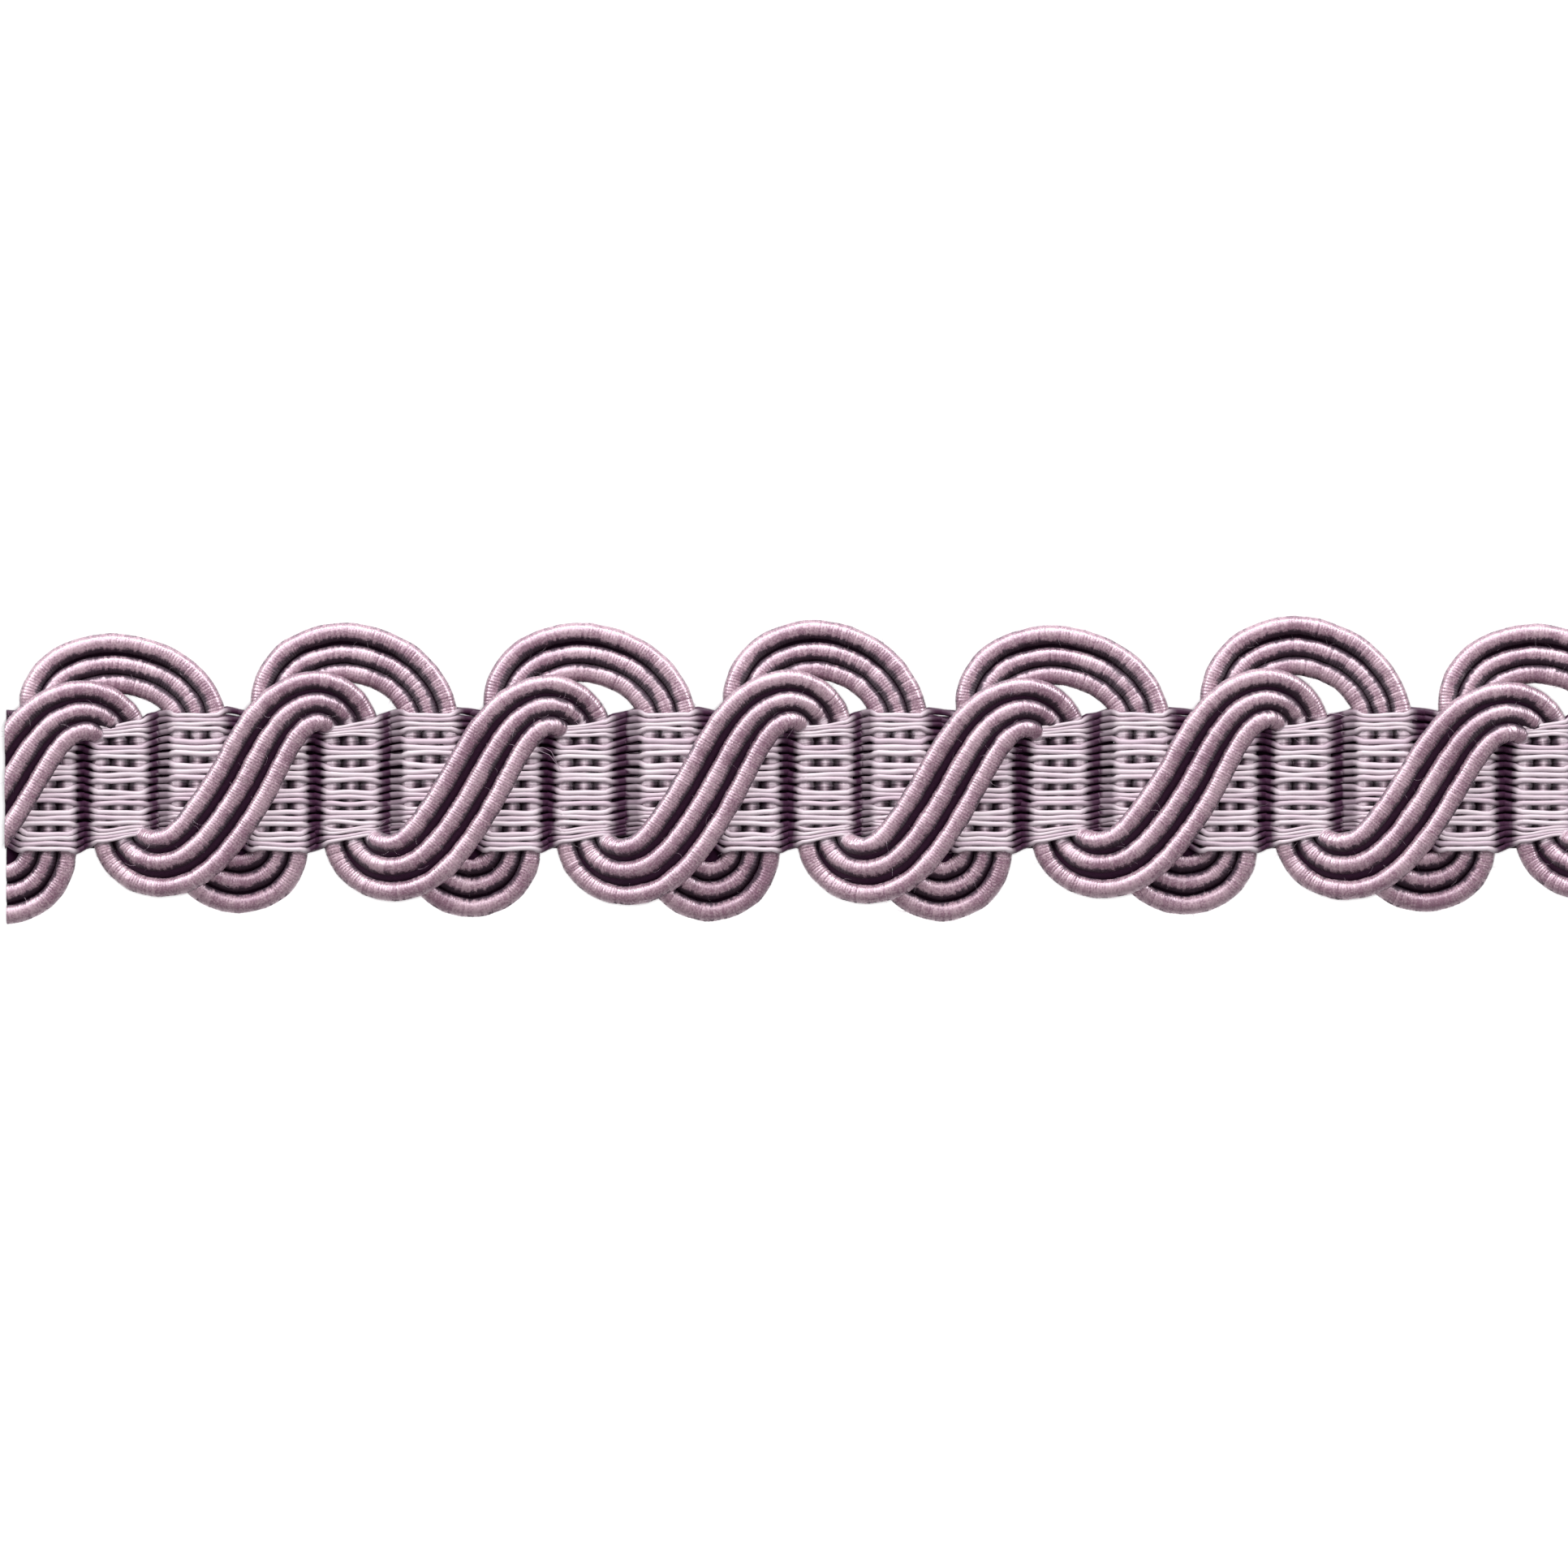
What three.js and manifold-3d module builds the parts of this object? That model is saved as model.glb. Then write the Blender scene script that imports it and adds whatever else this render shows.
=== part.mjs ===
// A cut length of scroll gimp braid, a flat furnishing trim that lies face up.
// Two sets of three wrapped gimp cords are held by a narrow band of binding threads.
// The back cords run up and down through the band in a meander, with a small lobe below it
// and a wide arch above it. The front cords go down through the band, turn below it, cross
// the face on a slant, and arch over into the band again one repeat further on.
// Units are millimetres. X runs along the braid, Y across it, and Z up from its back.
import * as THREE from "three";
import { mergeVertices } from "three/addons/utils/BufferGeometryUtils.js";
import Module from "manifold-3d";

// The gimp cords
const cordDiameter = 1.2;
const cordSides = 8;
const clearance = 0.3; // between any two pieces
const ribPitch = 1.58; // cord to cord where the threads hold them side by side
const crestPitch = 1.62; // cord to cord at the crest of the front arches
const footPitch = 1.78; // cord to cord at the foot of the front lobes
const archPitch = 1.64; // cord to cord in the back arches
const lobePitch = 1.6; // cord to cord in the back lobes
const archSpring = 4.8; // where a back cord leaves its rib for an arch
const lobeSpring = -5.0; // and for a lobe
const archLean = -0.85; // how far an arch's crest lies from halfway between its ribs

// The band of binding threads
const wall = 0.35; // one layer of threads, over or under the cords
const tunnelSlack = 0.09; // more room where the cords bend into a tunnel
const tunnelHalfWidth = ribPitch + cordDiameter / 2 + clearance + tunnelSlack;
const tunnelHeight = cordDiameter + 2 * clearance + tunnelSlack;
const tunnelBevelX = 0.6;
const tunnelBevelZ = 0.5;
const bandThickness = tunnelHeight + 2 * wall;
const ribFlatHalf = 1.6; // the flat crest of a rib
const ribShoulderHalf = 2.2;
const shoulderDrop = 0.22;
const valleyDrop = 0.72; // from a rib's crest to the valley between two ribs
const valleyHalf = 0.14; // the narrowest valley's flat

// The cut length
const leftCut = -57.5;
const rightCut = 59.5;

// The heights of the cords' middle lines
const groundHeight = bandThickness / 2;
const slantHeight = bandThickness + clearance + cordDiameter / 2;
const loopHeight = 0.8; // back arches and lobes sink towards the surface below
const sinkStart = 0.2; // the share of a loop's rise where its cords begin to sink

// How closely a cord's tube follows its bends
const sectionTurn = THREE.MathUtils.degToRad(24);
const sectionReach = 2.4;
const samplesPerStep = 14;

// One row for each repeat, from left to right, as uneven as the braid is. rise, front and fall
// are the middles of the ribs where the back cords rise, the front cords go down and the back
// cords fall. backTop and frontTop are the outlines of the arches that end in the fall and front
// ribs. frontFoot and backFoot are the outlines of the lobes that start there.
const repeats = [
  { rise: -71.7, front: -66.9, fall: -60.8, backTop: 11.4, frontTop: 7.9, frontFoot: -8.8, backFoot: -10.6 },
  { rise: -54.4, front: -49.1, fall: -43.4, backTop: 10.9, frontTop: 7.4, frontFoot: -8.6, backFoot: -9.8 },
  { rise: -37.3, front: -32.0, fall: -26.2, backTop: 11.7, frontTop: 8.1, frontFoot: -8.9, backFoot: -10.1 },
  { rise: -20.1, front: -14.8, fall: -8.6, backTop: 11.7, frontTop: 7.8, frontFoot: -9.2, backFoot: -10.4 },
  { rise: -2.4, front: 3.0, fall: 8.5, backTop: 11.9, frontTop: 8.2, frontFoot: -9.1, backFoot: -10.4 },
  { rise: 14.8, front: 20.3, fall: 26.4, backTop: 11.5, frontTop: 7.6, frontFoot: -8.7, backFoot: -9.9 },
  { rise: 32.9, front: 38.3, fall: 44.3, backTop: 12.2, frontTop: 8.3, frontFoot: -8.8, backFoot: -9.7 },
  { rise: 50.5, front: 56.1, fall: 62.2, backTop: 11.6, frontTop: 7.3, frontFoot: -8.8, backFoot: -9.9 },
  { rise: 68.3, front: 73.9, fall: 79.9, backTop: 11.6, frontTop: 7.9, frontFoot: -8.8, backFoot: -9.9 },
];

// The front cords' middle line from one front rib to the next. along is the share of the way to
// the next rib, and across is a share of the crest's height or, below zero, of the foot's depth.
// pitch is from cord to cord. The last three are the share of the rise from the band's middle to
// the face, for the cord that turns inmost at the foot, the middle one, and the one inmost at
// the crest.
const scrollRoute = [
  { along: 0, across: -0.1, pitch: ribPitch, footLift: 0, midLift: 0, crestLift: 0 },
  { along: 0, across: -0.56, pitch: ribPitch, footLift: 0, midLift: 0, crestLift: 0 },
  { along: 0.03, across: -0.81, pitch: 1.62, footLift: 0.2, midLift: 0.1, crestLift: 0.03 },
  { along: 0.095, across: -0.955, pitch: 1.72, footLift: 0.66, midLift: 0.42, crestLift: 0.3 },
  { along: 0.176, across: -1, pitch: footPitch, footLift: 0.92, midLift: 0.74, crestLift: 0.62 },
  { along: 0.26, across: -0.946, pitch: 1.82, footLift: 1, midLift: 0.94, crestLift: 0.88 },
  { along: 0.334, across: -0.8, pitch: 1.86, footLift: 1, midLift: 1, crestLift: 1 },
  { along: 0.405, across: -0.577, pitch: 1.88, footLift: 1, midLift: 1, crestLift: 1 },
  { along: 0.476, across: -0.297, pitch: 1.88, footLift: 1, midLift: 1, crestLift: 1 },
  { along: 0.541, across: 0, pitch: 1.88, footLift: 1, midLift: 1, crestLift: 1 },
  { along: 0.598, across: 0.317, pitch: 1.86, footLift: 1, midLift: 1, crestLift: 1 },
  { along: 0.659, across: 0.614, pitch: 1.82, footLift: 1, midLift: 1, crestLift: 1 },
  { along: 0.723, across: 0.832, pitch: 1.74, footLift: 1, midLift: 1, crestLift: 1 },
  { along: 0.793, across: 0.962, pitch: 1.66, footLift: 0.95, midLift: 0.97, crestLift: 0.96 },
  { along: 0.866, across: 1, pitch: crestPitch, footLift: 0.8, midLift: 0.84, crestLift: 0.78 },
  { along: 0.933, across: 0.93, pitch: 1.6, footLift: 0.4, midLift: 0.42, crestLift: 0.4 },
  { along: 0.982, across: 0.772, pitch: 1.6, footLift: 0.04, midLift: 0.04, crestLift: 0.04 },
  { along: 1, across: 0.52, pitch: ribPitch, footLift: 0, midLift: 0, crestLift: 0 },
];
const scrollStart = 7; // the first front cords come in at the left cut from this step of the route
const scrollEnd = 6; // and the last ones leave at the right cut by this one
const loopAngles = [0, 24, 52, 90, 128, 156, 180]; // places round a back arch or lobe, in degrees

// The band's edges at a rib's left and right side
const bandEdges = {
  rise: { topLeft: 4.7, topRight: 3.6, footLeft: -4.5, footRight: -5.1 },
  front: { topLeft: 2.0, topRight: 3.9, footLeft: -4.8, footRight: -3.0 },
  fall: { topLeft: 4.8, topRight: 4.8, footLeft: -3.1, footRight: -4.3 },
};

const colours = { cord: 0xa88f9b, threads: 0xcbb6c1 };

function middleOfScroll(from, to, first, last) {
  const crest = to.frontTop - crestPitch - cordDiameter / 2;
  const foot = from.frontFoot + footPitch + cordDiameter / 2;
  return scrollRoute.slice(first, last).map(({ along, across, pitch, ...lifts }) => ({
    point: new THREE.Vector3(
      THREE.MathUtils.lerp(from.front, to.front, along),
      across > 0 ? across * crest : -across * foot,
      0,
    ),
    pitch,
    heights: [lifts.footLift, lifts.midLift, lifts.crestLift].map((lift) =>
      THREE.MathUtils.lerp(groundHeight, slantHeight, lift),
    ),
  }));
}

// Half an ellipse from one rib to the next, above the band or, where spring is below 0, under it
function middleOfLoop(fromX, toX, outline, spring, lean, pitch, angles) {
  const rise = outline - Math.sign(spring) * (pitch + cordDiameter / 2) - spring;
  return angles.map((degrees) => {
    const angle = THREE.MathUtils.degToRad(degrees);
    const out = Math.max(Math.sin(angle) - sinkStart, 0) / (1 - sinkStart);
    return {
      point: new THREE.Vector3(
        THREE.MathUtils.lerp(fromX, toX, (1 - Math.cos(angle)) / 2) + lean * Math.sin(angle),
        spring + rise * Math.sin(angle),
        0,
      ),
      pitch: THREE.MathUtils.lerp(ribPitch, pitch, out),
      heights: Array(3).fill(THREE.MathUtils.lerp(groundHeight, loopHeight, out)),
    };
  });
}

function middleOfRib(x) {
  return [{ point: new THREE.Vector3(x, 0, 0), pitch: ribPitch, heights: Array(3).fill(groundHeight) }];
}

function frontMiddle() {
  const steps = middleOfScroll(repeats[0], repeats[1], scrollStart, scrollRoute.length);
  for (let k = 1; k < repeats.length - 2; k++) {
    steps.push(...middleOfScroll(repeats[k], repeats[k + 1], 0, scrollRoute.length));
  }
  steps.push(...middleOfScroll(repeats[repeats.length - 2], repeats[repeats.length - 1], 0, scrollEnd));
  return steps;
}

function backMiddle() {
  const lobe = (from, to, angles) =>
    middleOfLoop(from.fall, to.rise, from.backFoot, lobeSpring, 0, lobePitch, angles);
  const arch = (row, angles) =>
    middleOfLoop(row.rise, row.fall, row.backTop, archSpring, archLean, archPitch, angles);
  const steps = lobe(repeats[0], repeats[1], loopAngles.slice(2));
  for (let k = 1; k < repeats.length - 2; k++) {
    steps.push(...middleOfRib(repeats[k].rise), ...arch(repeats[k], loopAngles));
    steps.push(...middleOfRib(repeats[k].fall), ...lobe(repeats[k], repeats[k + 1], loopAngles));
  }
  const last = repeats[repeats.length - 2];
  steps.push(...middleOfRib(last.rise), ...arch(last, loopAngles.slice(0, -1)));
  return steps;
}

// Points close together along one cord of a set of three. side is 0 on the middle line.
function cordLine(steps, side) {
  const middle = new THREE.CatmullRomCurve3(steps.map((step) => step.point), false, "centripetal");
  const spans = steps.length - 1;
  const count = spans * samplesPerStep;
  const line = [];
  for (let i = 0; i <= count; i++) {
    const place = (i / count) * spans;
    const index = Math.min(Math.floor(place), spans - 1);
    const [before, after] = [steps[index], steps[index + 1]];
    const pitch = THREE.MathUtils.lerp(before.pitch, after.pitch, place - index);
    const way = middle.getTangent(i / count);
    const sideways = new THREE.Vector3(way.y, -way.x, 0);
    const [low, high] = [before.heights[side + 1], after.heights[side + 1]];
    const point = middle.getPoint(i / count).addScaledVector(sideways, side * pitch);
    line.push(point.setZ(THREE.MathUtils.lerp(low, high, place - index)));
  }
  return line;
}

// Keeps a section where the line has turned or run far enough since the one before.
function sectionsOf(line) {
  const kept = [line[0]];
  let turned = 0;
  for (let i = 1; i < line.length - 1; i++) {
    const before = line[i].clone().sub(line[i - 1]);
    const after = line[i + 1].clone().sub(line[i]);
    turned += before.angleTo(after);
    const reach = line[i].distanceTo(kept[kept.length - 1]);
    if (turned > sectionTurn || reach > sectionReach) {
      kept.push(line[i]);
      turned = 0;
    }
  }
  kept.push(line[line.length - 1]);
  return kept;
}

// A path that an extrusion steps along from one section to the next.
class LaidCord extends THREE.Curve {
  constructor(sections) {
    super();
    this.sections = sections;
  }
  getPoint(t, target = new THREE.Vector3()) {
    const place = t * (this.sections.length - 1);
    const index = Math.min(Math.floor(place), this.sections.length - 2);
    return target.lerpVectors(this.sections[index], this.sections[index + 1], place - index);
  }
  getPointAt(u, target) {
    return this.getPoint(u, target);
  }
  getTangentAt(u, target = new THREE.Vector3()) {
    const index = Math.round(u * (this.sections.length - 1));
    const before = this.sections[Math.max(index - 1, 0)];
    const after = this.sections[Math.min(index + 1, this.sections.length - 1)];
    return target.subVectors(after, before).normalize();
  }
}

function cordGeometry(steps, side) {
  const sections = sectionsOf(cordLine(steps, side));
  const round = [];
  for (let i = 0; i < cordSides; i++) {
    const angle = ((i + 0.5) / cordSides) * 2 * Math.PI;
    round.push(new THREE.Vector2(Math.cos(angle), Math.sin(angle)).multiplyScalar(cordDiameter / 2));
  }
  return new THREE.ExtrudeGeometry(new THREE.Shape(round), {
    steps: sections.length - 1,
    extrudePath: new LaidCord(sections),
  });
}

// The ribs that lie inside the cut length, from left to right
function ribsInside() {
  const found = [];
  for (const row of repeats) {
    for (const kind of ["rise", "front", "fall"]) {
      const inside = row[kind] - tunnelHalfWidth > leftCut && row[kind] + tunnelHalfWidth < rightCut;
      if (inside) found.push({ x: row[kind], edges: bandEdges[kind] });
    }
  }
  return found;
}

// One side of the band's section, from left to right: heights measured from its middle
function ribbedLine(ribs) {
  const crest = bandThickness / 2;
  const line = [[leftCut, crest - valleyDrop]];
  ribs.forEach(({ x }, i) => {
    line.push([x - ribShoulderHalf, crest - shoulderDrop], [x - ribFlatHalf, crest]);
    line.push([x + ribFlatHalf, crest], [x + ribShoulderHalf, crest - shoulderDrop]);
    if (i + 1 === ribs.length) return;
    const middle = (x + ribs[i + 1].x) / 2;
    line.push([middle - valleyHalf, crest - valleyDrop], [middle + valleyHalf, crest - valleyDrop]);
  });
  line.push([rightCut, crest - valleyDrop]);
  return line;
}

function tunnelHole(x) {
  const w = tunnelHalfWidth;
  const h = tunnelHeight / 2;
  const corners = [
    [w, h - tunnelBevelZ],
    [w - tunnelBevelX, h],
    [tunnelBevelX - w, h],
    [-w, h - tunnelBevelZ],
    [-w, tunnelBevelZ - h],
    [tunnelBevelX - w, -h],
    [w - tunnelBevelX, -h],
    [w, tunnelBevelZ - h],
  ];
  return new THREE.Path(corners.map(([dx, dz]) => new THREE.Vector2(x + dx, groundHeight + dz)));
}

// The band's upper and lower edge, as lists of places along it
function edgeLines(ribs) {
  const top = [];
  const foot = [];
  for (const { x, edges } of ribs) {
    top.push([x - ribShoulderHalf, edges.topLeft], [x + ribShoulderHalf, edges.topRight]);
    foot.push([x - ribShoulderHalf, edges.footLeft], [x + ribShoulderHalf, edges.footRight]);
  }
  return { top, foot };
}

function heightAt(line, x) {
  const next = line.findIndex((place) => place[0] >= x);
  if (next === 0) return line[0][1];
  if (next < 0) return line[line.length - 1][1];
  const [x0, y0] = line[next - 1];
  const [x1, y1] = line[next];
  return THREE.MathUtils.mapLinear(x, x0, x1, y0, y1);
}

function bandGeometry() {
  const ribs = ribsInside();
  const upper = ribbedLine(ribs);
  const outline = upper.map(([x, h]) => new THREE.Vector2(x, groundHeight + h));
  const under = upper.map(([x, h]) => new THREE.Vector2(x, groundHeight - h)).reverse();
  const section = new THREE.Shape([...outline, ...under]);
  section.holes = ribs.map(({ x }) => tunnelHole(x));
  const geometry = new THREE.ExtrudeGeometry(section, { depth: 1, bevelEnabled: false });
  geometry.rotateX(Math.PI / 2);
  const { top, foot } = edgeLines(ribs);
  const place = geometry.getAttribute("position");
  for (let i = 0; i < place.count; i++) {
    const x = place.getX(i);
    place.setY(i, place.getY(i) < -0.5 ? heightAt(foot, x) : heightAt(top, x));
  }
  return geometry;
}

const wasm = await Module();
wasm.setup();

function solidOf(geometry) {
  const bare = geometry.clone();
  bare.deleteAttribute("normal");
  bare.deleteAttribute("uv");
  const merged = mergeVertices(bare, 1e-4);
  return new wasm.Manifold(
    new wasm.Mesh({
      numProp: 3,
      vertProperties: new Float32Array(merged.getAttribute("position").array),
      triVerts: new Uint32Array(merged.index.array),
    }),
  );
}

function geometryOf(solid) {
  const { vertProperties, triVerts } = solid.getMesh();
  const geometry = new THREE.BufferGeometry();
  geometry.setAttribute("position", new THREE.BufferAttribute(vertProperties, 3));
  geometry.setIndex(new THREE.BufferAttribute(triVerts, 1));
  geometry.computeVertexNormals();
  return geometry;
}

// The length between the two straight cuts
function cutLength() {
  const room = 40;
  const box = new THREE.BoxGeometry(rightCut - leftCut, room, room);
  return solidOf(box.translate((leftCut + rightCut) / 2, 0, 0));
}

function named(name, geometry, colour) {
  const material = new THREE.MeshStandardMaterial({ color: colour, roughness: 0.55, metalness: 0 });
  const mesh = new THREE.Mesh(geometry, material);
  mesh.name = name;
  return mesh;
}

const braid = new THREE.Group();
const kept = cutLength();
const sets = { front_cord: frontMiddle(), back_cord: backMiddle() };
for (const [set, steps] of Object.entries(sets)) {
  [-1, 0, 1].forEach((side, i) => {
    const cord = solidOf(cordGeometry(steps, side)).intersect(kept);
    braid.add(named(`${set}_${i + 1}`, geometryOf(cord), colours.cord));
  });
}
braid.add(named("thread_band", bandGeometry(), colours.threads));

// The origin is the middle of the braid's box, on the surface that it lies on.
const box = new THREE.Box3().setFromObject(braid);
const middle = box.getCenter(new THREE.Vector3());
for (const mesh of braid.children) {
  mesh.geometry.translate(-middle.x, -middle.y, -box.min.z);
}

export default braid;
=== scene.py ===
import math

import bmesh
import bpy
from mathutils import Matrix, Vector, kdtree, noise


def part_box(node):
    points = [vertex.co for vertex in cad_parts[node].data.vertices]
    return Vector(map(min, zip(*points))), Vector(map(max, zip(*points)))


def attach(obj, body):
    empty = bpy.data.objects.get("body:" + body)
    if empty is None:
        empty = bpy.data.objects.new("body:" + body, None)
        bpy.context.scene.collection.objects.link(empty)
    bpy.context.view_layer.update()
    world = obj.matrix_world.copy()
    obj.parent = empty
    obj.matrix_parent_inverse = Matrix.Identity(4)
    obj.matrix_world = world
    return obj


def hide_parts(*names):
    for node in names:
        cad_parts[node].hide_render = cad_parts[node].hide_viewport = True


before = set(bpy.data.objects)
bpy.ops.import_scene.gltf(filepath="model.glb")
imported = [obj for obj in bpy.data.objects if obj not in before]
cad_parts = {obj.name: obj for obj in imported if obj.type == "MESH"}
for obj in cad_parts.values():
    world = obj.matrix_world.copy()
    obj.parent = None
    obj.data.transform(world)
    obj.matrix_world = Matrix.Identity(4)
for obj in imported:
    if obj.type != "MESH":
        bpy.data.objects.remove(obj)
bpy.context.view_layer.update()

mm = 0.001  # the tables below are in millimetres, as the braid's solids are


# Camera
# It looks straight down, and its long lens keeps the high and low cords in place.
cameraView = {
    "frameWidth": 115.92,  # what the square picture takes in at planeHeight
    "planeHeight": 1.6,
    "below": 0.24,  # how far the picture's middle lies below the band's
    "lens": 300.0,
    "sensor": 36.0,
}


def makeCamera(settings):
    data = bpy.data.cameras.new("camera")
    data.lens = settings["lens"]
    data.sensor_width = settings["sensor"]
    data.clip_start = 0.01
    data.clip_end = 20.0
    camera = bpy.data.objects.new("camera", data)
    distance = settings["frameWidth"] * settings["lens"] / settings["sensor"]
    y = photoShift.y - settings["below"]
    camera.location = Vector((photoShift.x, y, settings["planeHeight"] + distance)) * mm
    bpy.context.collection.objects.link(camera)
    bpy.context.scene.camera = camera


# Where the cords and threads go
# The tables measure x along the braid and y across it, from the middle of the band. The solids
# are centred on their box, so the shift between the two comes from the band's box.
cut = {"left": -57.5, "right": 59.5, "bandTop": 4.8, "spare": 1.2}
bandLow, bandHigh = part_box("thread_band")
photoShift = Vector((bandLow.x / mm - cut["left"], bandHigh.y / mm - cut["bandTop"], 0.0))

makeCamera(cameraView)
print("camera ready")

heights = {"ground": 1.29, "slant": 3.05, "loop": 0.8}  # the cords' middle lines

# One row for each repeat: the middles of the three ribs, then the outlines of the arches that
# end in the fall and front ribs and of the lobes that start there.
repeatColumns = ("rise", "front", "fall", "backTop", "frontTop", "frontFoot", "backFoot")
repeatRows = [
    (-71.7, -66.9, -60.8, 11.4, 7.9, -8.8, -10.6),
    (-54.4, -49.1, -43.4, 10.9, 7.4, -8.6, -9.8),
    (-37.3, -32.0, -26.2, 11.7, 8.1, -8.9, -10.1),
    (-20.1, -14.8, -8.6, 11.7, 7.8, -9.2, -10.4),
    (-2.4, 3.0, 8.5, 11.9, 8.2, -9.1, -10.4),
    (14.8, 20.3, 26.4, 11.5, 7.6, -8.7, -9.9),
    (32.9, 38.3, 44.3, 12.2, 8.3, -8.8, -9.7),
    (50.5, 56.1, 62.2, 11.6, 7.3, -8.8, -9.9),
    (68.3, 73.9, 79.9, 11.6, 7.9, -8.8, -9.9),
]
repeats = [dict(zip(repeatColumns, row)) for row in repeatRows]

# The front cords' middle line from one front rib to the next. along is the share of the way to
# the next rib, across a share of the crest's height or the foot's depth. left and right are the
# cord to cord distances on each side of the middle cord, looking the way the line runs. The lifts
# go from the band's middle to the face, for the left, middle and right cord.
scrollColumns = ("along", "across", "left", "right", "liftLeft", "liftMiddle", "liftRight")
scrollRows = [
    (0.0, -0.1, 1.38, 1.38, 0.0, 0.0, 0.0),
    (0.0, -0.56, 1.38, 1.4, 0.0, 0.0, 0.0),
    (0.03, -0.81, 1.46, 1.6, 0.2, 0.1, 0.03),
    (0.095, -0.955, 1.6, 1.76, 0.66, 0.42, 0.3),
    (0.176, -1.0, 1.68, 1.86, 0.92, 0.74, 0.62),
    (0.26, -0.946, 1.76, 1.9, 1.0, 0.94, 0.88),
    (0.334, -0.8, 1.84, 1.92, 1.0, 1.0, 1.0),
    (0.405, -0.577, 1.92, 1.92, 1.0, 1.0, 1.0),
    (0.476, -0.297, 1.94, 1.92, 1.0, 1.0, 1.0),
    (0.541, 0.0, 1.94, 1.9, 1.0, 1.0, 1.0),
    (0.598, 0.317, 1.92, 1.86, 1.0, 1.0, 1.0),
    (0.659, 0.614, 1.84, 1.76, 1.0, 1.0, 1.0),
    (0.723, 0.832, 1.74, 1.64, 1.0, 1.0, 1.0),
    (0.793, 0.962, 1.64, 1.52, 0.95, 0.97, 0.96),
    (0.866, 1.0, 1.58, 1.44, 0.8, 0.84, 0.78),
    (0.933, 0.93, 1.52, 1.4, 0.4, 0.42, 0.4),
    (0.982, 0.772, 1.44, 1.38, 0.04, 0.04, 0.04),
    (1.0, 0.52, 1.38, 1.38, 0.0, 0.0, 0.0),
]
scroll = [dict(zip(scrollColumns, row)) for row in scrollRows]
scrollEnds = {"crestOffset": 2.28, "footOffset": 2.58, "start": 7, "end": 6}
loops = {
    "angles": (0, 24, 52, 90, 128, 156, 180),
    "archSpring": 4.8, "archLean": -0.85, "archOffset": 2.32, "archLeft": 1.62, "archRight": 1.36,
    "lobeSpring": -5.0, "lobeLean": 0.0, "lobeOffset": 2.28, "lobeLeft": 1.54, "lobeRight": 1.58,
    "rib": 1.38, "sinkStart": 0.2,
}


def mix(a, b, share):
    return a + (b - a) * share


def smooth(share):
    share = min(max(share, 0.0), 1.0)
    return share * share * (3 - 2 * share)


def scrollSteps(start, end, first, last):
    crest = end["frontTop"] - scrollEnds["crestOffset"]
    foot = -start["frontFoot"] - scrollEnds["footOffset"]
    steps = []
    for row in scroll[first:last]:
        lifts = (row["liftLeft"], row["liftMiddle"], row["liftRight"])
        steps.append({
            "x": mix(start["front"], end["front"], row["along"]),
            "y": row["across"] * (crest if row["across"] > 0 else foot),
            "left": row["left"],
            "right": row["right"],
            "z": [mix(heights["ground"], heights["slant"], lift) for lift in lifts],
        })
    return steps


def loopSteps(fromX, toX, edgeShade, kind, angles):
    spring = loops[kind + "Spring"]
    rise = edgeShade - math.copysign(loops[kind + "Offset"], spring) - spring
    steps = []
    for degrees in angles:
        angle = math.radians(degrees)
        out = max(math.sin(angle) - loops["sinkStart"], 0) / (1 - loops["sinkStart"])
        steps.append({
            "x": mix(fromX, toX, (1 - math.cos(angle)) / 2) + loops[kind + "Lean"] * math.sin(angle),
            "y": spring + rise * math.sin(angle),
            "left": mix(loops["rib"], loops[kind + "Left"], out),
            "right": mix(loops["rib"], loops[kind + "Right"], out),
            "z": [mix(heights["ground"], heights["loop"], out)] * 3,
        })
    return steps


def ribStep(x):
    return {"x": x, "y": 0.0, "left": loops["rib"], "right": loops["rib"], "z": [heights["ground"]] * 3}


def frontSteps():
    steps = scrollSteps(repeats[0], repeats[1], scrollEnds["start"], None)
    for start, end in zip(repeats[1:-2], repeats[2:-1]):
        steps += scrollSteps(start, end, 0, None)
    return steps + scrollSteps(repeats[-2], repeats[-1], 0, scrollEnds["end"])


def backSteps():
    angles = loops["angles"]
    steps = loopSteps(repeats[0]["fall"], repeats[1]["rise"], repeats[0]["backFoot"], "lobe", angles[2:])
    for row, after in zip(repeats[1:-2], repeats[2:-1]):
        steps.append(ribStep(row["rise"]))
        steps += loopSteps(row["rise"], row["fall"], row["backTop"], "arch", angles)
        steps.append(ribStep(row["fall"]))
        steps += loopSteps(row["fall"], after["rise"], row["backFoot"], "lobe", angles)
    last = repeats[-2]
    steps.append(ribStep(last["rise"]))
    return steps + loopSteps(last["rise"], last["fall"], last["backTop"], "arch", angles[:-1])


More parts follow.
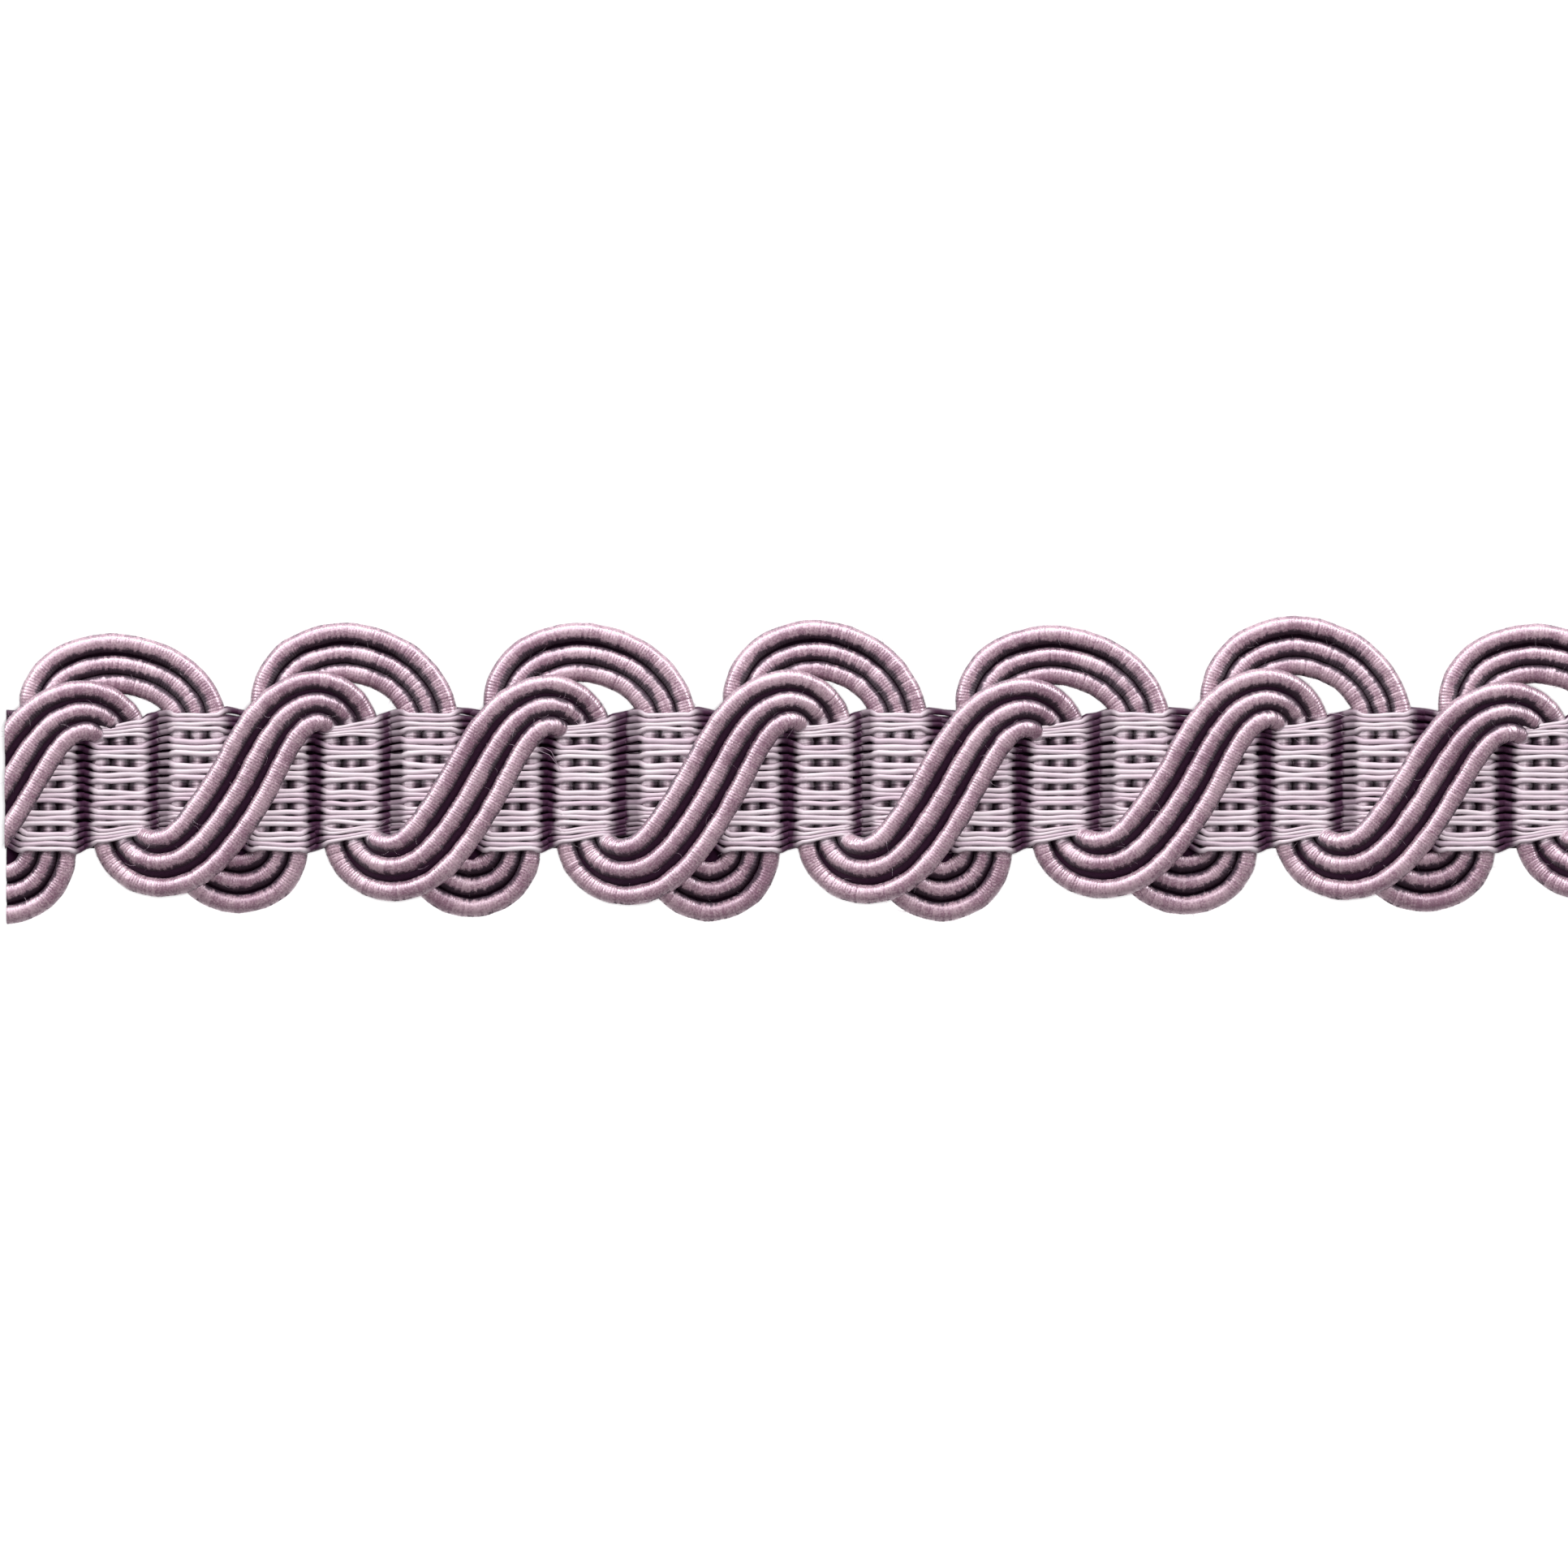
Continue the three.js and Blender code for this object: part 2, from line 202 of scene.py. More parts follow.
# The smooth line through the steps, with the way it runs, and the step it has reached
def middleLine(steps, perStep=24):
    points = [Vector((step["x"], step["y"])) for step in steps]
    points.insert(0, points[0] * 2 - points[1])
    points.append(points[-1] * 2 - points[-2])
    line = []
    for i in range(1, len(points) - 2):
        before, start, end, after = points[i - 1:i + 3]
        gaps = [math.sqrt((b - a).length) for a, b in ((before, start), (start, end), (end, after))]
        slopeStart = (start - before) / gaps[0] - (end - before) / (gaps[0] + gaps[1])
        slopeStart = (slopeStart + (end - start) / gaps[1]) * gaps[1]
        slopeEnd = (end - start) / gaps[1] - (after - start) / (gaps[1] + gaps[2])
        slopeEnd = (slopeEnd + (after - end) / gaps[2]) * gaps[1]
        for j in range(perStep):
            t = j / perStep
            place = (start * (2 * t**3 - 3 * t**2 + 1) + slopeStart * (t**3 - 2 * t**2 + t)
                     + end * (3 * t**2 - 2 * t**3) + slopeEnd * (t**3 - t**2))
            way = (start * (6 * t**2 - 6 * t) + slopeStart * (3 * t**2 - 4 * t + 1)
                   + end * (6 * t - 6 * t**2) + slopeEnd * (3 * t**2 - 2 * t))
            line.append((place, way.normalized(), i - 1, t))
    return line


# One cord's line. side is -1 for the left cord, 0 for the middle one and 1 for the right one, and
# halves lie in the grooves between them.
def cordLine(steps, side):
    line = []
    for place, way, i, t in middleLine(steps):
        reach = "left" if side < 0 else "right"
        pitch = mix(steps[i][reach], steps[i + 1][reach], t)
        sideways = Vector((way.y, -way.x)) * side * pitch
        low, high = math.floor(side) + 1, math.ceil(side) + 1
        z = [mix(step["z"][low], step["z"][high], side + 1 - low) for step in steps[i:i + 2]]
        line.append(Vector((place.x + sideways.x, place.y + sideways.y, mix(z[0], z[1], t))))
    line = evened(line, 0.1)
    return softened(cutToLength(line), 5)


# The same line with its points a fixed distance apart
def evened(line, spacing):
    points = [line[0]]
    left = spacing
    for start, end in zip(line, line[1:]):
        length = (end - start).length
        reached = left
        while reached <= length:
            points.append(start.lerp(end, reached / length))
            reached += spacing
        left = reached - length
    return points


# Keeps a little more than the braid's length, because trimEnds makes the cuts
def cutToLength(line):
    low, high = cut["left"] - cut["spare"], cut["right"] + cut["spare"]
    inside = [i for i, p in enumerate(line) if low <= p.x <= high]
    return line[inside[0]:inside[-1] + 1]


# Rounds off the changes of height
def softened(line, reach):
    heightsNow = [p.z for p in line]
    for i, p in enumerate(line):
        near = heightsNow[max(i - reach, 0):i + reach + 1]
        p.z = sum(near) / len(near)
    return line


# Building node trees
# A Wire is one output socket. Sums on wires add Math nodes, and graph.add makes any other node.
class Wire:
    def __init__(self, graph, node, socket):
        self.graph = graph
        self.node = node
        self.socket = socket

    def out(self, name):
        return Wire(self.graph, self.node, self.node.outputs[name])

    def math(self, operation, *others):
        values = {i: value for i, value in enumerate((self,) + others)}
        return self.graph.add("ShaderNodeMath", {"operation": operation}, values)

    def __add__(self, other):
        return self.math("ADD", other)

    def __sub__(self, other):
        return self.math("SUBTRACT", other)

    def __rsub__(self, other):
        return self.graph.add("ShaderNodeMath", {"operation": "SUBTRACT"}, {0: other, 1: self})

    def __mul__(self, other):
        return self.math("MULTIPLY", other)

    def __truediv__(self, other):
        return self.math("DIVIDE", other)

    def __mod__(self, other):
        return self.math("FLOORED_MODULO", other)

    __radd__ = __add__
    __rmul__ = __mul__

    def above(self, other):
        return self.math("GREATER_THAN", other)

    def ramp(self, low, high, start=0.0, end=1.0):
        values = {"Value": self, 1: low, 2: high, 3: start, 4: end}
        return self.graph.add("ShaderNodeMapRange", {"interpolation_type": "SMOOTHSTEP"}, values)


class Graph:
    def __init__(self, tree):
        self.tree = tree

    def add(self, kind, settings=None, inputs=None, output=0):
        node = self.tree.nodes.new(kind)
        for name, value in (settings or {}).items():
            setattr(node, name, value)
        for key, value in (inputs or {}).items():
            socket = node.inputs[key] if isinstance(key, int) else self.find(node.inputs, key)
            if isinstance(value, Wire):
                self.tree.links.new(value.socket, socket)
            else:
                socket.default_value = value
        socket = node.outputs[output] if len(node.outputs) else None
        return Wire(self, node, socket)

    # Sockets of other data types share a name, so the identifier comes first.
    def find(self, sockets, key):
        return next((s for s in sockets if s.identifier == key), None) or sockets[key]

    def attribute(self, name):
        return self.add("ShaderNodeAttribute", {"attribute_name": name}, output="Fac")

    def noise(self, scale, detail=2.0, vector=None, roughness=0.5):
        inputs = {"Scale": scale, "Detail": detail, "Roughness": roughness}
        if vector:
            inputs["Vector"] = vector
        return self.add("ShaderNodeTexNoise", None, inputs)

    def blend(self, share, a, b, kind="MIX"):
        settings = {"data_type": "RGBA", "blend_type": kind}
        return self.add("ShaderNodeMix", settings, {0: share, 6: a, 7: b}, output=2)


def newMaterial(name, settings, build):
    material = bpy.data.materials.new(name)
    material.use_nodes = True
    material.node_tree.nodes.clear()
    graph = Graph(material.node_tree)
    shader = graph.add("ShaderNodeBsdfPrincipled")
    for socket, value in settings["shader"].items():
        shader.node.inputs[socket].default_value = value
    build(graph, shader.node, settings)
    graph.add("ShaderNodeOutputMaterial", None, {"Surface": shader})
    return material


def link(graph, wire, node, socket):
    graph.tree.links.new(wire.socket, node.inputs[socket])


# Materials
cordFinish = {
    "light": (0.505, 0.345, 0.405, 1.0),
    "dark": (0.255, 0.13, 0.188, 1.0),
    # painted shade: the near-black of the grooves between cords and of the cords under the band
    "deepShade": (0.024, 0.004, 0.019, 1.0),
    "raggedTurns": 0.16,  # millimetres
    "raggedFibres": 0.45,
    "raggedSlow": 0.3,
    "grooveDark": 0.2,
    "grooveLight": 0.47,
    "crest": (0.60, 0.49, 0.55, 1.0),  # painted highlight: lighter where it shows between the threads
    "roughness": 0.26,
    "matt": 0.5,  # what the grooves and the crests between threads add to the roughness
    "ridge": 0.008,
    "tilt": 0.045,
    "fibre": 0.01,
    "grain": 0.008,
    "shader": {"Specular IOR Level": 0.8, "Specular Tint": (1.0, 0.84, 0.95, 1.0)},
}
threadFinish = {
    "light": (0.84, 0.73, 0.785, 1.0),
    "dark": (0.69, 0.54, 0.63, 1.0),
    # painted shade: the near-black of the threads in the valleys between the ribs
    "deepShade": (0.052, 0.013, 0.042, 1.0),
    "shader": {"Specular IOR Level": 0.6, "Specular Tint": (1.0, 0.88, 0.96, 1.0)},
}
# painted shade: the near-black of the yarn in the grooves, the valleys and the lobes' eyes, standing in for
# the shade there
shadeYarnFinish = {
    "light": (0.03, 0.006, 0.024, 1.0),
    "dark": (0.012, 0.002, 0.01, 1.0),
    "shader": {"Roughness": 0.9, "Specular IOR Level": 0.1},
}
hairFinish = {
    "light": (0.62, 0.50, 0.58, 1.0),
    "dark": (0.40, 0.28, 0.36, 1.0),
    "shader": {"Roughness": 0.5, "Specular IOR Level": 0.5},
}
coreFinish = {
    "light": (0.72, 0.64, 0.62, 1.0),
    "dark": (0.45, 0.36, 0.38, 1.0),
    "shader": {"Roughness": 0.9, "Specular IOR Level": 0.2},
}


# Each turn of the winding is a small ridge with its own tone. Painted shade darkens the cord into the grooves
# beside its neighbours, with an edge as ragged as the turns are, and where the band covers it.
def buildCord(graph, shader, settings):
    turns = graph.attribute("turns")
    turn = turns.math("FLOOR")
    tone = graph.add("ShaderNodeTexWhiteNoise", {"noise_dimensions": "1D"}, {"W": turn})
    place = graph.add("ShaderNodeTexCoord", output="Object")
    patches = graph.noise(260.0, 3.0, place)
    fibres = graph.noise(3500.0, 3.0, place, 0.7)
    grain = graph.noise(7000.0, 2.0, place, 0.6)
    share = (tone * 0.08 + patches * 0.37 + grain * 0.55).ramp(0.39, 0.61)
    colour = graph.blend(share, settings["dark"], settings["light"])
    ragged = (tone - 0.5) * settings["raggedTurns"] + (fibres - 0.5) * settings["raggedFibres"]
    slow = (graph.noise(420.0, 1.0, place) - 0.5) * settings["raggedSlow"]
    crest = graph.attribute("crest")
    colour = graph.blend(crest, colour, settings["crest"])
    edge = graph.attribute("groove") + ragged + slow
    groove = 1.0 - edge.ramp(settings["grooveDark"], settings["grooveLight"])
    deepShade = graph.attribute("buriedShade").math("MAXIMUM", groove)
    link(graph, graph.blend(deepShade, colour, settings["deepShade"]), shader, "Base Color")
    matt = deepShade.math("MAXIMUM", crest) * settings["matt"]
    link(graph, fibres * 0.2 + settings["roughness"] + matt, shader, "Roughness")
    ridge = (turns * math.pi).math("SINE").math("ABSOLUTE")
    lean = (turns % 1.0 - 0.5) * (tone - 0.5)
    height = ridge * settings["ridge"] + lean * settings["tilt"] + fibres * settings["fibre"]
    height = height + grain * settings["grain"]
    bump = graph.add("ShaderNodeBump", None, {"Strength": 1.0, "Distance": 0.001, "Height": height})
    link(graph, bump, shader, "Normal")


# Painted shade darkens the threads where they dive into the valleys between the ribs.
def buildThread(graph, shader, settings):
    strand = graph.attribute("strand")
    tone = graph.add("ShaderNodeTexWhiteNoise", {"noise_dimensions": "1D"}, {"W": strand})
    place = graph.add("ShaderNodeTexCoord", output="Object")
    patches = graph.noise(500.0, 3.0, place)
    share = (tone * 0.4 + patches * 0.6).ramp(0.25, 0.75)
    colour = graph.blend(share, settings["dark"], settings["light"])
    buriedShade = graph.attribute("buriedShade")
    link(graph, graph.blend(buriedShade, colour, settings["deepShade"]), shader, "Base Color")
    fibres = graph.noise(9000.0, 2.0, place)
    link(graph, fibres * 0.16 + 0.4, shader, "Roughness")
    bump = graph.add("ShaderNodeBump", None, {"Strength": 0.3, "Distance": 0.00003, "Height": fibres})
    link(graph, bump, shader, "Normal")


def buildYarn(graph, shader, settings):
    place = graph.add("ShaderNodeTexCoord", output="Object")
    fibres = graph.noise(4000.0, 3.0, place)
    link(graph, graph.blend(fibres, settings["dark"], settings["light"]), shader, "Base Color")
    bump = graph.add("ShaderNodeBump", None, {"Strength": 0.6, "Distance": 0.00005, "Height": fibres})
    link(graph, bump, shader, "Normal")


cordMaterial = newMaterial("woundRayon", cordFinish, buildCord)
threadMaterial = newMaterial("bindingThread", threadFinish, buildThread)
shadeYarnMaterial = newMaterial("shadeYarn", shadeYarnFinish, buildYarn)
coreMaterial = newMaterial("cottonCore", coreFinish, buildYarn)
hairMaterial = newMaterial("looseFibre", hairFinish, buildYarn)
print("materials ready")


# A tree that turns a line into a tube. Each ring has a number, three rings make one turn of the
# winding, and the first of the three sits lower, so that the turns read as ridges.
def tubeTree(name, wound):
    tree = bpy.data.node_groups.new(name, "GeometryNodeTree")
    inputs = [
        ("Geometry", "NodeSocketGeometry"), ("Radius", "NodeSocketFloat"), ("Ring spacing", "NodeSocketFloat"),
        ("Sides", "NodeSocketInt"), ("Height", "NodeSocketFloat"), ("Groove depth", "NodeSocketFloat"),
        ("Unevenness", "NodeSocketFloat"), ("Seed", "NodeSocketInt"), ("Material", "NodeSocketMaterial"),
    ]
    for title, kind in inputs:
        tree.interface.new_socket(title, in_out="INPUT", socket_type=kind)
    tree.interface.new_socket("Geometry", in_out="OUTPUT", socket_type="NodeSocketGeometry")
    graph = Graph(tree)
    given = graph.add("NodeGroupInput")
    line = graph.add("GeometryNodeResampleCurve", {"mode": "LENGTH"},
                     {"Curve": given.out("Geometry"), "Length": given.out("Ring spacing")})
    line = graph.add("GeometryNodeSetCurveNormal", {"mode": "Z_UP"}, {"Curve": line})
    ring = graph.add("GeometryNodeInputIndex")
    turn = (ring / 3.0).math("FLOOR")
    jitter = graph.add("FunctionNodeRandomValue", {"data_type": "FLOAT"},
                       {"Min_001": -1.0, "Max_001": 1.0, "ID": turn, "Seed": given.out("Seed")}, output=1)
    slow = graph.add("ShaderNodeTexNoise", {"noise_dimensions": "1D"},
                     {"W": turn * 0.03 + given.out("Seed"), "Detail": 2.0})
    swell = graph.add("GeometryNodeInputRadius") * ((slow - 0.5) * 0.2 + 1.0)
    radius = given.out("Radius") * swell
    if wound:
        inGroove = 1.0 - (ring % 3.0).above(0.5)
        radius = radius + jitter * given.out("Unevenness") - inGroove * given.out("Groove depth")
    line = graph.add("GeometryNodeStoreNamedAttribute", {"data_type": "FLOAT", "domain": "POINT"},
                     {"Geometry": line, "Name": "turns", "Value": ring / 3.0})
    profile = graph.add("GeometryNodeCurvePrimitiveCircle", None,
                        {"Resolution": given.out("Sides"), "Radius": 1.0})
    # Names the sides of the tube, from -1 to 1 across it
    around = graph.add("ShaderNodeSeparateXYZ", None, {"Vector": graph.add("GeometryNodeInputPosition")})
    profile = graph.add("GeometryNodeStoreNamedAttribute", {"data_type": "FLOAT", "domain": "POINT"},
                        {"Geometry": profile, "Name": "flank", "Value": around.out("X")})
    squash = graph.add("ShaderNodeCombineXYZ", None, {"X": 1.0, "Y": given.out("Height"), "Z": 1.0})
    profile = graph.add("GeometryNodeTransform", None, {"Geometry": profile, "Scale": squash})
    tube = graph.add("GeometryNodeCurveToMesh", None,
                     {"Curve": line, "Profile Curve": profile, "Scale": radius, "Fill Caps": True})
    tube = graph.add("GeometryNodeSetShadeSmooth", None, {"Geometry": tube, "Shade Smooth": True})
    tube = graph.add("GeometryNodeRealizeInstances", None, {"Geometry": tube})
    tube = graph.add("GeometryNodeSetMaterial", None, {"Geometry": tube, "Material": given.out("Material")})
    graph.add("NodeGroupOutput", None, {"Geometry": tube})
    return tree


# Runs a tree on some lines and keeps the result as a plain mesh
def meshFromLines(name, lines, tree, settings, material, swell=None):
    curve = bpy.data.curves.new(name + "Line", "CURVE")
    curve.dimensions = "3D"
    for number, line in enumerate(lines):
        spline = curve.splines.new("POLY")
        spline.points.add(len(line) - 1)
        for point, place in zip(spline.points, line):
            point.co = ((place + photoShift) * mm).to_4d()
            point.radius = swell(place, number) if swell else 1.0
    source = bpy.data.objects.new(name + "Line", curve)
    bpy.context.collection.objects.link(source)
    modifier = source.modifiers.new("tube", "NODES")
    modifier.node_group = tree
    sockets = {item.name: item.identifier for item in tree.interface.items_tree if item.in_out == "INPUT"}
    for title, value in settings.items():
        modifier[sockets[title]] = value
    modifier[sockets["Material"]] = material
    shown = source.evaluated_get(bpy.context.evaluated_depsgraph_get())
    mesh = bpy.data.meshes.new_from_object(shown)
    mesh.name = name
    piece = bpy.data.objects.new(name, mesh)
    bpy.context.collection.objects.link(piece)
    bpy.data.objects.remove(source)
    bpy.data.curves.remove(curve)
    return piece


# Binding threads
# Two sets of threads cross the cords, each over one rib and under the next. They lie in groups,
# with a row of small gaps between groups. A row gives the number of threads in a group and where
# its first and last thread lie, at the rise rib, both sides of the front rib, and the fall rib.
groupColumns = ("count", "rise", "frontLeft", "frontRight", "fall")
groupRows = [
    (4, (4.62, 3.54), (3.95, 3.3), (4.38, 3.36), (4.92, 3.8)),
    (3, (2.82, 1.86), (2.5, 1.7), (2.5, 1.7), (2.97, 1.98)),
    (3, (1.02, 0.15), (0.9, 0.0), (0.9, 0.0), (1.17, 0.18)),
    (3, (-0.66, -1.5), (-0.84, -1.7), (-0.84, -1.7), (-0.63, -1.41)),
    (3, (-2.32, -3.2), (-2.3, -3.12), (-2.3, -3.12), (-2.04, -2.7)),
    (4, (-3.88, -5.1), (-3.6, -4.5), (-3.36, -4.02), (-3.0, -3.72)),
]
groups = [dict(zip(groupColumns, row)) for row in groupRows]
threads = {
    "Radius": 0.182 * mm,
    "Ring spacing": 0.3 * mm,
    "Sides": 8,
    "Height": 0.7,
    "Groove depth": 0.0,
    "Unevenness": 0.0,
    "Seed": 3,
    "ribHalf": 1.6,  # the rows keep straight this far from a rib's middle
    "underShift": 0.2,  # a thread that runs under a rib lies between the ones above it
    "wander": 0.07,
    "spacing": 0.12,
    "crestDip": 0.05,
    "darkAt": 0.5,  # shares of a thread's height over the cords' middle
    "lightAt": 1.12,
    "gather": 0.88,  # the groups draw together over a rib and spread out beside it
    "spread": 1.35,
    "dim": 0.66,  # painted shade: the threads are half dark where they rise into a fall rib
    "dimStart": -2.95,
    "dimFrom": -2.35,
    "dimTo": -1.7,
    "fill": 0.48,  # a thread's radius as a share of the distance to the next one
}


def ribStations():
    stations = []
    for row in repeats:
        for kind in ("rise", "front", "fall"):
            stations.append((row[kind], kind))
    return stations


def ribDistance(x):
    return min(abs(x - centre) for centre, kind in stations)


# How far the groups are drawn together at x. They spread where the threads dive between ribs.
def gathering(x):
    return mix(threads["gather"], threads["spread"], smooth((ribDistance(x) - 1.55) / 0.6))


# A row's place across the braid at x
def rowPlace(x, group, share, stations):
    share = 0.5 + (share - 0.5) * gathering(x)
    marks = []
    for centre, kind in stations:
        left, right = (kind + "Left", kind + "Right") if kind == "front" else (kind, kind)
        marks.append((centre - threads["ribHalf"], mix(*group[left], share)))
        marks.append((centre + threads["ribHalf"], mix(*group[right], share)))
    for (x0, y0), (x1, y1) in zip(marks, marks[1:]):
        if x <= x1:
            return mix(y0, y1, smooth((x - x0) / (x1 - x0)))
    return marks[-1][1]


stations = ribStations()
braidPieces, cordPieces = [], []


# Cuts a piece straight across at both ends of the braid. The cut face of a cord shows its core.
def trimEnds(piece, skin=0.0):
    mesh = bmesh.new()
    mesh.from_mesh(piece.data)
    for edge, way in ((cut["left"], -1), (cut["right"], 1)):
        place = ((edge + photoShift.x) * mm, 0, 0)
        everything = mesh.verts[:] + mesh.edges[:] + mesh.faces[:]
        bmesh.ops.bisect_plane(mesh, geom=everything, plane_co=place, plane_no=(way, 0, 0), clear_outer=True)
    rims = [e for e in mesh.edges if e.is_boundary]
    caps = bmesh.ops.holes_fill(mesh, edges=rims, sides=0)["faces"]
    if skin:
        bmesh.ops.inset_individual(mesh, faces=caps, thickness=skin, use_even_offset=True)
        for face in caps:
            face.material_index = 1
    for face in caps:
        face.smooth = False
    mesh.to_mesh(piece.data)
    mesh.free()


# Ties a finished piece to the braid's body and hides the solids that it stands for. Pieces in the gimp_cord
# slot also join the list of cords.
def handIn(piece, slot, nodes=()):
    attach(piece, "root")
    for node in nodes:
        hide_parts(node)
    braidPieces.append(piece)
    if slot == "gimp_cord":
        cordPieces.append(piece)


# Gimp cords
cordSizes = {
    "Radius": 0.705 * mm,
    "Ring spacing": 0.0733 * mm,
    "Sides": 12,
    "Height": 1.0,
    "Groove depth": 0.014 * mm,
    "Unevenness": 0.004 * mm,
    "skin": 0.16 * mm,  # how thick the winding is round the core
}

# Painted shade darkens all of a cord under the band but its crest, which is crestHalf wide on each side of its
# middle. The outer cords of a rib stay unshaded as far as outerHalf on their outer side.
hidden = {"top": 4.9, "foot": -4.9, "fade": 0.5, "crestHalf": 0.25, "outerHalf": 0.36,
          "crestFade": 0.08, "outerFade": 0.45}


# Writes a share for each point, such as how deep in the shade of the band it lies
def markShare(piece, name, share):
    mesh = piece.data
    marked = mesh.attributes.new(name, "FLOAT", "POINT")
    for i, vertex in enumerate(mesh.vertices):
        marked.data[i].value = share(vertex.co / mm - photoShift)


def inBand(place):
    below = smooth((hidden["top"] - place.y) / hidden["fade"])
    return below * smooth((place.y - hidden["foot"]) / hidden["fade"])


# Writes how far each point lies from the middle of the groove beside it, in millimetres; the material paints
# shade into the grooves from it. The painted groove shade reaches wider on the side of a cord that faces away
# from the light. The outer sides of a set have no groove, but painted shade darkens them a little towards
# their edge, and more round the eye of a back lobe.
edgeShade = {"from": 0.33, "overBand": 0.24, "eye": 0.16}
shade = {"away": Vector((0.35, -0.94)), "shift": 0.1, "middle": 0.02}


def markGrooves(piece, side, lines, eyeSide):
    mesh = piece.data
    groove = mesh.attributes.new("groove", "FLOAT", "POINT")
    flank = mesh.attributes["flank"].data
    radius = cordSizes["Radius"] / mm
    trees = {}
    for near in (side - 1, side + 1):
        if near in lines:
            trees[near] = kdtree.KDTree(len(lines[near]))
            for i, point in enumerate(lines[near]):
                trees[near].insert((point.x, point.y, 0.0), i)
            trees[near].balance()
    for i, vertex in enumerate(mesh.vertices):
        facing = side + (1 if flank[i].value > 0 else -1)
        place = vertex.co / mm - photoShift
        if facing in trees:
            spot, _, apart = trees[facing].find((place.x, place.y, 0.0))
            shaded = (spot - place).xy.normalized().dot(shade["away"])
            groove.data[i].value = (apart - radius * abs(flank[i].value)) / 2
            groove.data[i].value -= shade["shift"] * shaded + shade["middle"]
        else:
            start = mix(edgeShade["from"], edgeShade["overBand"], inBand(place))
            if facing == eyeSide and place.y < hidden["foot"]:
                start = edgeShade["eye"]
            groove.data[i].value = start + radius * (1 - abs(flank[i].value))


def besideCrest(place):
    away = ribDistance(place.x)
    if away > loops["rib"]:
        return smooth((away - loops["rib"] - hidden["outerHalf"]) / hidden["outerFade"])
    away = min(away, loops["rib"] - away)
    return smooth((away - hidden["crestHalf"]) / hidden["crestFade"])


def underThreads(place):
    return inBand(place) if place.z < heights["ground"] + 1.0 else 0.0


# Painted shade where the band covers a cord: all of it below its middle, and above that all but the crest
def cordBuriedShade(place):
    return underThreads(place) * (besideCrest(place) if place.z > heights["ground"] else 1.0)


def cordCrest(place):
    return underThreads(place) * (1.0 - besideCrest(place))


# A cord bulges where it shows in the small gaps between the groups of threads.
bulge = {"share": 0.11, "reach": 0.3}


def cordSwell(place, number):
    if place.z > heights["ground"] + 0.2 or abs(place.y) > hidden["top"]:
        return 1.0
    for above, below in zip(groups, groups[1:]):
        gap = (rowPlace(place.x, above, 1.0, stations) + rowPlace(place.x, below, 0.0, stations)) / 2
        if abs(place.y - gap) < bulge["reach"]:
            return 1 + bulge["share"] * smooth(1 - abs(place.y - gap) / bulge["reach"])
    return 1.0


windingTree = tubeTree("winding", wound=True)
smoothTree = tubeTree("smoothTube", wound=False)
cordSets = {"front_cord": frontSteps(), "back_cord": backSteps()}
for setName, steps in cordSets.items():
    lines = {side: cordLine(steps, side) for side in (-1, 0, 1)}
    for number, side in enumerate(lines, 1):
        nodeName = f"{setName}_{number}"
        name = f"gimp_{nodeName}"
        sizes = {title: value for title, value in cordSizes.items() if title[0].isupper()}
        sizes["Seed"] = len(name) + number * 7 + (40 if setName == "back_cord" else 0)
        cord = meshFromLines(name, [lines[side]], windingTree, sizes, cordMaterial, cordSwell)
        markShare(cord, "buriedShade", cordBuriedShade)
        markShare(cord, "crest", cordCrest)
        markGrooves(cord, side, lines, -2 if setName == "back_cord" else None)
        cord.data.materials.append(coreMaterial)
        trimEnds(cord, cordSizes["skin"])
        handIn(cord, "gimp_cord", [nodeName])
print("cords wound")

# Painted shade: a near-black yarn laid low in the grooves between neighbouring cords, standing in for the
# shade there
shadeYarn = {"Radius": 0.36 * mm, "Ring spacing": 0.3 * mm, "Sides": 8, "Height": 1.0,
              "Groove depth": 0.0, "Unevenness": 0.0, "Seed": 5}
yarnDrop = 0.3
yarnLines = []
for steps in cordSets.values():
    for side in (-0.5, 0.5):
        line = cordLine(steps, side)
        yarnLines.append([point - Vector((0, 0, yarnDrop)) for point in line])
yarn = meshFromLines("groove_shade_yarn", yarnLines, smoothTree, shadeYarn, shadeYarnMaterial)
trimEnds(yarn)
handIn(yarn, "gimp_cord")
print("groove yarn laid")


threadRise = cordSizes["Radius"] / mm + threads["Radius"] * threads["Height"] / mm


# Painted shade: a near-black weft yarn fills each valley below the threads and closes the eye of each back
# lobe, standing in for the shade there.
weft = {"Radius": 1.05 * mm, "Ring spacing": 0.3 * mm, "Sides": 12, "Height": 0.5, "Groove depth": 0.0,
        "Unevenness": 0.0, "Seed": 9, "drop": 0.72, "inset": 0.2, "underLobe": 0.5,
        "eyeSpread": 0.4, "eyeDepth": 0.75}


def weftLines():
    lines = []
    for (left, kind), (right, _) in zip(stations, stations[1:]):
        x = (left + right) / 2
        if cut["left"] < x < cut["right"]:
            z = heights["ground"] - weft["drop"]
            top = rowPlace(x, groups[0], 0.0, stations) - weft["inset"]
            foot = rowPlace(x, groups[-1], 1.0, stations)
            foot -= weft["underLobe"] if kind == "front" else 0
            lines.append([Vector((x, foot, z)), Vector((x, top, z))])
    for row, after in zip(repeats, repeats[1:]):
        x = (row["fall"] + after["rise"]) / 2
        if cut["left"] - 1 < x < cut["right"] + 1:
            spring, spread = loops["lobeSpring"], weft["eyeSpread"]
            places = ((x - spread, spring + 0.4), (x - spread / 2, spring - weft["eyeDepth"]),
                      (x + spread / 2, spring - weft["eyeDepth"]), (x + spread, spring + 0.4))
            lines.append([Vector((px, py, heights["loop"])) for px, py in places])
    return lines


